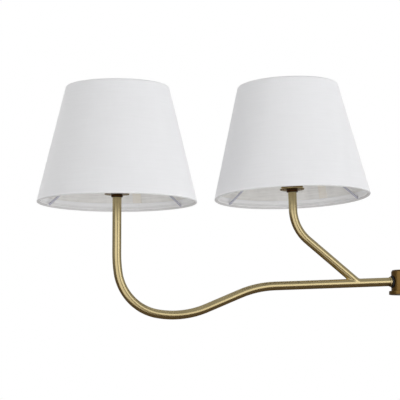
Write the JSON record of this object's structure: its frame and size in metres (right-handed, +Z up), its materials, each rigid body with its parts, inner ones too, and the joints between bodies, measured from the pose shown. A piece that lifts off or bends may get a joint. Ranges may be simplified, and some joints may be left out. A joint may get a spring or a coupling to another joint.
{
  "type": "swing arm wall sconce",
  "caption": "Wall light: a bent brass arm and its branch swing on a vertical knuckle and carry two white empire shades over bulbs; round canopy with a dimmer knob.",
  "frame": {"origin": "centre of the wall strap's rear face, in the wall plane", "axes": "+X into the wall, +Z up, the arm stands straight out along -X at rest"},
  "size_m": [0.6976, 0.2549, 0.384],
  "materials": {
    "aged_brass": "brushed brass with an antique satin lacquer",
    "bright_brass": "turned brass, unlacquered",
    "dark_bronze": "dark bronze patina",
    "zinc_steel": "zinc plated steel",
    "black_nylon": "matt black moulded nylon",
    "white_nylon": "natural nylon",
    "black_phenolic": "moulded phenolic",
    "steatite": "unglazed ceramic",
    "cable_sheath": "braided gold flex",
    "opal_glass": "opal glass, satin",
    "white_fabric": "white slub linen laminated to styrene",
    "frame_wire": "powder coated white grey wire"
  },
  "bodies": {
    "root": {"wall_strap": "zinc_steel", "canopy": "aged_brass", "front_canopy_stud": "zinc_steel", "rear_canopy_stud": "zinc_steel", "front_cap_nut": "aged_brass", "rear_cap_nut": "aged_brass", "bracket_tube": "aged_brass", "hub_collar": "aged_brass", "hub_lock_nut": "zinc_steel", "dimmer_body": "black_phenolic", "dimmer_bush_nut": "aged_brass", "earth_screw": "zinc_steel", "terminal_block": "white_nylon", "bracket_cable": "cable_sheath", "pivot_bracket": "aged_brass", "pivot_post": "zinc_steel", "lower_friction_washer": "white_nylon", "upper_friction_washer": "white_nylon", "pivot_spring_washer": "zinc_steel", "pivot_lock_nut": "zinc_steel"},
    "knob": {"dimmer_shaft": "zinc_steel", "dimmer_knob": "aged_brass"},
    "arm": {"swivel_barrel": "aged_brass", "barrel_cap": "aged_brass", "arm_washer": "black_nylon", "arm_ferrule": "aged_brass", "main_arm_tube": "aged_brass", "branch_tube": "aged_brass", "arm_cable": "cable_sheath", "branch_cable": "cable_sheath", "left_threaded_nipple": "bright_brass", "left_collar_nut": "dark_bronze", "left_drip_disc": "aged_brass", "left_lampholder_cup": "aged_brass", "left_lampholder_shell": "black_phenolic", "left_lampholder_core": "steatite", "left_screw_shell": "bright_brass", "left_shade_ring_nut": "black_phenolic", "left_bulb_base": "zinc_steel", "left_bulb_glass": "opal_glass", "right_threaded_nipple": "bright_brass", "right_collar_nut": "dark_bronze", "right_drip_disc": "aged_brass", "right_lampholder_cup": "aged_brass", "right_lampholder_shell": "black_phenolic", "right_lampholder_core": "steatite", "right_screw_shell": "bright_brass", "right_shade_ring_nut": "black_phenolic", "right_bulb_base": "zinc_steel", "right_bulb_glass": "opal_glass"},
    "left_shade": {"left_shade_cover": "white_fabric", "left_top_ring": "frame_wire", "left_bottom_ring": "frame_wire", "left_fitter": "frame_wire"},
    "right_shade": {"right_shade_cover": "white_fabric", "right_top_ring": "frame_wire", "right_bottom_ring": "frame_wire", "right_fitter": "frame_wire"}
  },
  "joints": [
    {"name": "arm_swing", "type": "hinge", "parent": "root", "child": "arm", "pos_m": [-0.1, 0, 0], "axis": [0, 0, 1], "range_deg": [-78, 78]},
    {"name": "left_shade_turn", "type": "hinge", "parent": "arm", "child": "left_shade", "pos_m": [-0.57262, 0, 0.12043], "axis": [0, 0, 1], "continuous": true},
    {"name": "right_shade_turn", "type": "hinge", "parent": "arm", "child": "right_shade", "pos_m": [-0.28248, 0.00534, 0.1389], "axis": [-0.0274, 0.0384, 0.9989], "continuous": true},
    {"name": "dimmer_turn", "type": "hinge", "parent": "root", "child": "knob", "pos_m": [-0.034, 0, -0.036], "axis": [-1, 0, 0], "range_deg": [0, 270]}
  ]
}
